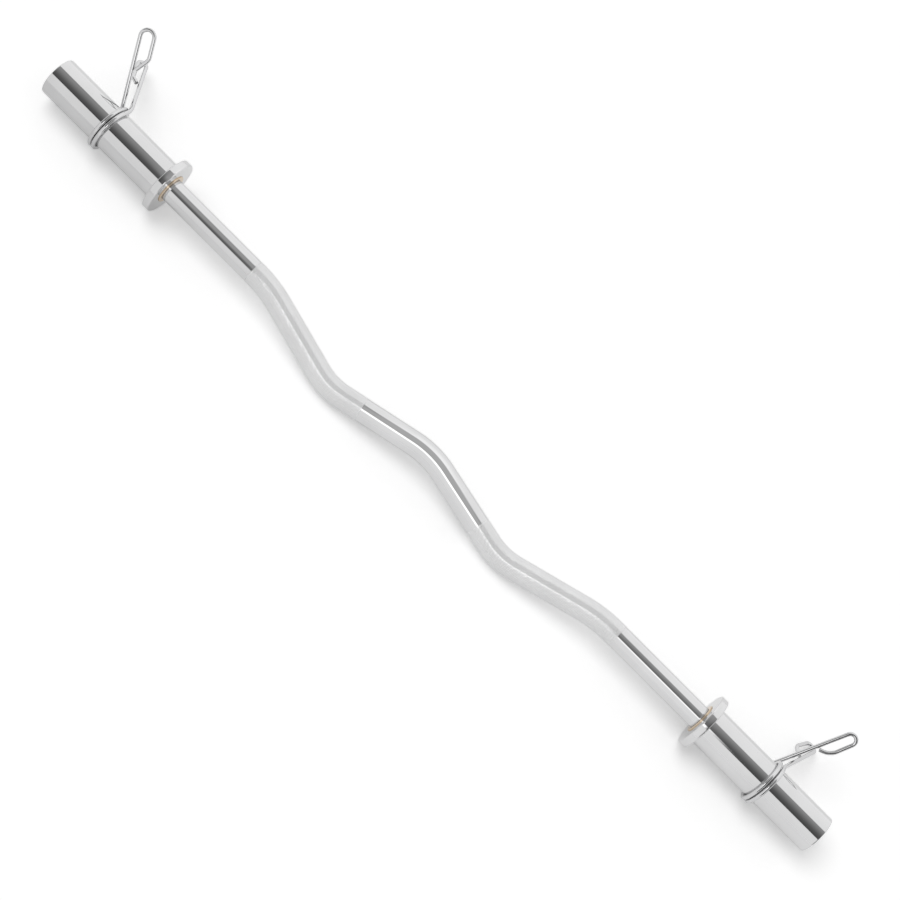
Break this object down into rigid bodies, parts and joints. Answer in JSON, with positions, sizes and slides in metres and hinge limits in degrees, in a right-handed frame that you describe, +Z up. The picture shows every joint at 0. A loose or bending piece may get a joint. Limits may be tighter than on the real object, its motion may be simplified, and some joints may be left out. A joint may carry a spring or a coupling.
{
  "type": "ez curl bar",
  "caption": "Cranked chromed barbell for curls, with knurled grips on a bent shaft, rotating flanged sleeves for weight plates, and wire spring collars with squeeze handles.",
  "frame": {"origin": "middle of the base, on the floor that the flanges and the dips of the shaft lie on", "axes": "+X along the bar to its right-hand end, +Y to the side that the collar handles point to, +Z up"},
  "size_m": [1.2, 0.1481, 0.0949],
  "materials": {
    "shaft_chrome": "bright chrome plate, knurled on the grips",
    "sleeve_chrome": "bright chrome plate",
    "bronze": "plain turned bronze",
    "plain_steel": "plain, oiled",
    "spring_wire": "bright plated spring wire"
  },
  "bodies": {
    "shaft": {"shaft": "shaft_chrome", "left_thrust_washer": "plain_steel", "left_retaining_ring": "plain_steel", "right_thrust_washer": "plain_steel", "right_retaining_ring": "plain_steel"},
    "left_sleeve": {"left_sleeve_tube": "sleeve_chrome", "left_flange": "sleeve_chrome", "left_inner_bushing": "bronze", "left_outer_bushing": "bronze", "left_end_cap": "sleeve_chrome"},
    "left_collar": {"left_collar_spring": "spring_wire"},
    "left_upper_handle": {"left_collar_upper_handle": "spring_wire"},
    "left_lower_handle": {"left_collar_lower_handle": "spring_wire"},
    "right_sleeve": {"right_sleeve_tube": "sleeve_chrome", "right_flange": "sleeve_chrome", "right_inner_bushing": "bronze", "right_outer_bushing": "bronze", "right_end_cap": "sleeve_chrome"},
    "right_collar": {"right_collar_spring": "spring_wire"},
    "right_upper_handle": {"right_collar_upper_handle": "spring_wire"},
    "right_lower_handle": {"right_collar_lower_handle": "spring_wire"}
  },
  "joints": [
    {"name": "left_sleeve_spin", "type": "hinge", "parent": "shaft", "child": "left_sleeve", "pos_m": [-0.5, -0.03656, 0.0355], "axis": [1, 0, 0], "continuous": true},
    {"name": "left_collar_slide", "type": "slide", "parent": "left_sleeve", "child": "left_collar", "axis": [-1, 0, 0], "range_m": [-0.079, 0.1]},
    {"name": "left_upper_squeeze", "type": "hinge", "parent": "left_collar", "child": "left_upper_handle", "pos_m": [-0.5164, -0.03656, 0.0355], "axis": [-1, 0, 0], "range_deg": [0, 7], "stiffness_Nm_per_rad": 20, "deforming": ["left_collar_spring"]},
    {"name": "left_lower_squeeze", "type": "hinge", "parent": "left_collar", "child": "left_lower_handle", "pos_m": [-0.5164, -0.03656, 0.0355], "axis": [1, 0, 0], "range_deg": [0, 7], "stiffness_Nm_per_rad": 20, "deforming": ["left_collar_spring"]},
    {"name": "right_sleeve_spin", "type": "hinge", "parent": "shaft", "child": "right_sleeve", "pos_m": [0.5, -0.03656, 0.0355], "axis": [1, 0, 0], "continuous": true},
    {"name": "right_collar_slide", "type": "slide", "parent": "right_sleeve", "child": "right_collar", "axis": [1, 0, 0], "range_m": [-0.079, 0.1]},
    {"name": "right_upper_squeeze", "type": "hinge", "parent": "right_collar", "child": "right_upper_handle", "pos_m": [0.5164, -0.03656, 0.0355], "axis": [-1, 0, 0], "range_deg": [0, 7], "stiffness_Nm_per_rad": 20, "deforming": ["right_collar_spring"]},
    {"name": "right_lower_squeeze", "type": "hinge", "parent": "right_collar", "child": "right_lower_handle", "pos_m": [0.5164, -0.03656, 0.0355], "axis": [1, 0, 0], "range_deg": [0, 7], "stiffness_Nm_per_rad": 20, "deforming": ["right_collar_spring"]}
  ],
  "couplings": [
    {"joint": "left_lower_squeeze", "follows": "left_upper_squeeze", "ratio": 1},
    {"joint": "right_lower_squeeze", "follows": "right_upper_squeeze", "ratio": 1}
  ]
}
